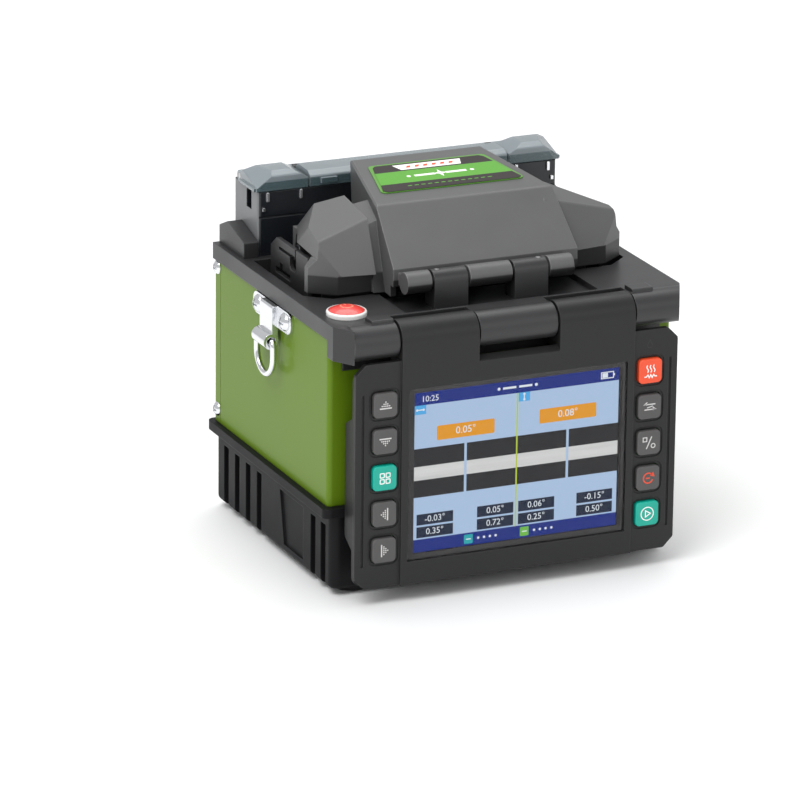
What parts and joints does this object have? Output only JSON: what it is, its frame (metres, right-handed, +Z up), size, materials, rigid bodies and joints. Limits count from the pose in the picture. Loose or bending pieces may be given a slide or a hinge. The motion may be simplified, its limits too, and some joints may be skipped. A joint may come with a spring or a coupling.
{
  "type": "fiber fusion splicer",
  "caption": "Boxy hand-held optical fibre splicer with flip-up monitor, keys, wind-protector hood over the splice chamber, sleeve heater, painted body, ribbed base and strap rings.",
  "frame": {"origin": "on the plane the feet rest on, under the middle of the whole object's width and depth", "axes": "+Z up, +X to the operator's right, -Y towards the operator and the monitor"},
  "size_m": [0.1296, 0.1082, 0.1201],
  "materials": {
    "base_plastic": "matte",
    "deck_plastic": "satin",
    "bezel_plastic": "satin",
    "hood_plastic": "satin",
    "green_paint": "satin",
    "rubber": "matte",
    "chromed_steel": "polished",
    "steel": "satin",
    "anodised_aluminium": "satin",
    "bare_aluminium": "satin",
    "screen_glass": "gloss",
    "lcd": "gloss",
    "circuit_board": "satin",
    "smoky_lid": "gloss",
    "ceramic": "satin",
    "tungsten": "satin",
    "key_grey": "satin",
    "key_teal": "satin",
    "key_orange": "satin",
    "power_white": "gloss",
    "power_red": "gloss",
    "label_film": "gloss",
    "battery_shell": "matte",
    "lens_black": "satin"
  },
  "bodies": {
    "chassis": {"base_tray": "base_plastic", "rubber_feet": "rubber", "body_wrap": "green_paint", "rear_cover": "green_paint", "cover_screws": "chromed_steel", "top_deck": "deck_plastic", "monitor_pins": "steel", "hood_pin": "steel", "hinge_set_screws": "steel", "power_ring": "power_white", "lug_screws": "chromed_steel", "splice_platform": "anodised_aluminium", "electrodes": "tungsten", "fibre_guides": "deck_plastic", "feed_motors": "steel", "heater_base": "deck_plastic", "heater_trough": "bare_aluminium", "heater_pin": "steel", "corner_blocks": "deck_plastic", "main_board": "circuit_board", "dc_jack": "base_plastic", "usb_port": "steel", "strap_lug_left": "chromed_steel", "strap_lug_right": "chromed_steel", "v_groove_left": "ceramic", "v_groove_right": "ceramic", "electrode_holder_front": "deck_plastic", "electrode_holder_rear": "deck_plastic", "microscope_front": "lens_black", "microscope_rear": "lens_black"},
    "monitor": {"monitor_bezel": "bezel_plastic", "monitor_back": "bezel_plastic", "screen_glass": "screen_glass", "lcd_panel": "lcd", "control_boards": "circuit_board"},
    "hood": {"hood_shell": "hood_plastic", "hood_label": "label_film", "pressure_feet": "ceramic", "hood_lamps": "power_white"},
    "battery": {"battery_pack": "battery_shell"},
    "power_button": {"power_button": "power_red"},
    "heater_lid": {"heater_lid": "smoky_lid"},
    "heater_clamp_left": {"heater_clamp_left": "smoky_lid"},
    "feed_stage_left": {"clamp_base_left": "anodised_aluminium"},
    "clamp_lid_left": {"clamp_lid_left": "anodised_aluminium"},
    "strap_ring_left": {"strap_ring_left": "chromed_steel"},
    "heater_clamp_right": {"heater_clamp_right": "smoky_lid"},
    "feed_stage_right": {"clamp_base_right": "anodised_aluminium"},
    "clamp_lid_right": {"clamp_lid_right": "anodised_aluminium"},
    "strap_ring_right": {"strap_ring_right": "chromed_steel"},
    "key_up": {"key_up": "key_grey"},
    "key_down": {"key_down": "key_grey"},
    "key_menu": {"key_menu": "key_teal"},
    "key_back": {"key_back": "key_grey"},
    "key_forward": {"key_forward": "key_grey"},
    "key_heat": {"key_heat": "key_orange"},
    "key_swap": {"key_swap": "key_grey"},
    "key_view": {"key_view": "key_grey"},
    "key_reset": {"key_reset": "key_grey"},
    "key_start": {"key_start": "key_teal"}
  },
  "joints": [
    {"name": "monitor_flip", "type": "hinge", "parent": "chassis", "child": "monitor", "pos_m": [0, -0.0479, 0.0847], "axis": [-1, 0, 0], "range_deg": [0, 135]},
    {"name": "hood_open", "type": "hinge", "parent": "chassis", "child": "hood", "pos_m": [0, -0.0319, 0.0966], "axis": [1, 0, 0], "range_deg": [0, 90]},
    {"name": "battery_slide", "type": "slide", "parent": "chassis", "child": "battery", "axis": [0, 1, 0], "range_m": [0, 0.085]},
    {"name": "power_press", "type": "slide", "parent": "chassis", "child": "power_button", "axis": [0, 0, -1], "range_m": [0, 0.001], "stiffness_N_per_m": 400, "springref_m": -0.001},
    {"name": "heater_lid_open", "type": "hinge", "parent": "chassis", "child": "heater_lid", "pos_m": [0, 0.0459, 0.113], "axis": [-1, 0, 0], "range_deg": [0, 95]},
    {"name": "heater_clamp_left_open", "type": "hinge", "parent": "chassis", "child": "heater_clamp_left", "pos_m": [0, 0.0459, 0.113], "axis": [-1, 0, 0], "range_deg": [0, 95]},
    {"name": "feed_left", "type": "slide", "parent": "chassis", "child": "feed_stage_left", "axis": [1, 0, 0], "range_m": [0, 0.0015]},
    {"name": "clamp_lid_left_open", "type": "hinge", "parent": "feed_stage_left", "child": "clamp_lid_left", "pos_m": [-0.036, 0.0146, 0.096], "axis": [-1, 0, 0], "range_deg": [0, 90]},
    {"name": "strap_ring_left_swing", "type": "hinge", "parent": "chassis", "child": "strap_ring_left", "pos_m": [-0.0622, 0.0021, 0.0728], "axis": [0, 1, 0], "range_deg": [-5, 100]},
    {"name": "heater_clamp_right_open", "type": "hinge", "parent": "chassis", "child": "heater_clamp_right", "pos_m": [0, 0.0459, 0.113], "axis": [-1, 0, 0], "range_deg": [0, 95]},
    {"name": "feed_right", "type": "slide", "parent": "chassis", "child": "feed_stage_right", "axis": [-1, 0, 0], "range_m": [0, 0.0015]},
    {"name": "clamp_lid_right_open", "type": "hinge", "parent": "feed_stage_right", "child": "clamp_lid_right", "pos_m": [0.036, 0.0146, 0.096], "axis": [-1, 0, 0], "range_deg": [0, 90]},
    {"name": "strap_ring_right_swing", "type": "hinge", "parent": "chassis", "child": "strap_ring_right", "pos_m": [0.0622, 0.0021, 0.0728], "axis": [0, -1, 0], "range_deg": [-5, 100]},
    {"name": "key_up_press", "type": "slide", "parent": "monitor", "child": "key_up", "axis": [0, 1, 0], "range_m": [0, 0.0006], "stiffness_N_per_m": 300, "springref_m": -0.0005},
    {"name": "key_down_press", "type": "slide", "parent": "monitor", "child": "key_down", "axis": [0, 1, 0], "range_m": [0, 0.0006], "stiffness_N_per_m": 300, "springref_m": -0.0005},
    {"name": "key_menu_press", "type": "slide", "parent": "monitor", "child": "key_menu", "axis": [0, 1, 0], "range_m": [0, 0.0006], "stiffness_N_per_m": 300, "springref_m": -0.0005},
    {"name": "key_back_press", "type": "slide", "parent": "monitor", "child": "key_back", "axis": [0, 1, 0], "range_m": [0, 0.0006], "stiffness_N_per_m": 300, "springref_m": -0.0005},
    {"name": "key_forward_press", "type": "slide", "parent": "monitor", "child": "key_forward", "axis": [0, 1, 0], "range_m": [0, 0.0006], "stiffness_N_per_m": 300, "springref_m": -0.0005},
    {"name": "key_heat_press", "type": "slide", "parent": "monitor", "child": "key_heat", "axis": [0, 1, 0], "range_m": [0, 0.0006], "stiffness_N_per_m": 300, "springref_m": -0.0005},
    {"name": "key_swap_press", "type": "slide", "parent": "monitor", "child": "key_swap", "axis": [0, 1, 0], "range_m": [0, 0.0006], "stiffness_N_per_m": 300, "springref_m": -0.0005},
    {"name": "key_view_press", "type": "slide", "parent": "monitor", "child": "key_view", "axis": [0, 1, 0], "range_m": [0, 0.0006], "stiffness_N_per_m": 300, "springref_m": -0.0005},
    {"name": "key_reset_press", "type": "slide", "parent": "monitor", "child": "key_reset", "axis": [0, 1, 0], "range_m": [0, 0.0006], "stiffness_N_per_m": 300, "springref_m": -0.0005},
    {"name": "key_start_press", "type": "slide", "parent": "monitor", "child": "key_start", "axis": [0, 1, 0], "range_m": [0, 0.0006], "stiffness_N_per_m": 300, "springref_m": -0.0005}
  ],
  "couplings": [
    {"joint": "clamp_lid_left_open", "follows": "hood_open", "ratio": 1},
    {"joint": "clamp_lid_right_open", "follows": "hood_open", "ratio": 1}
  ]
}
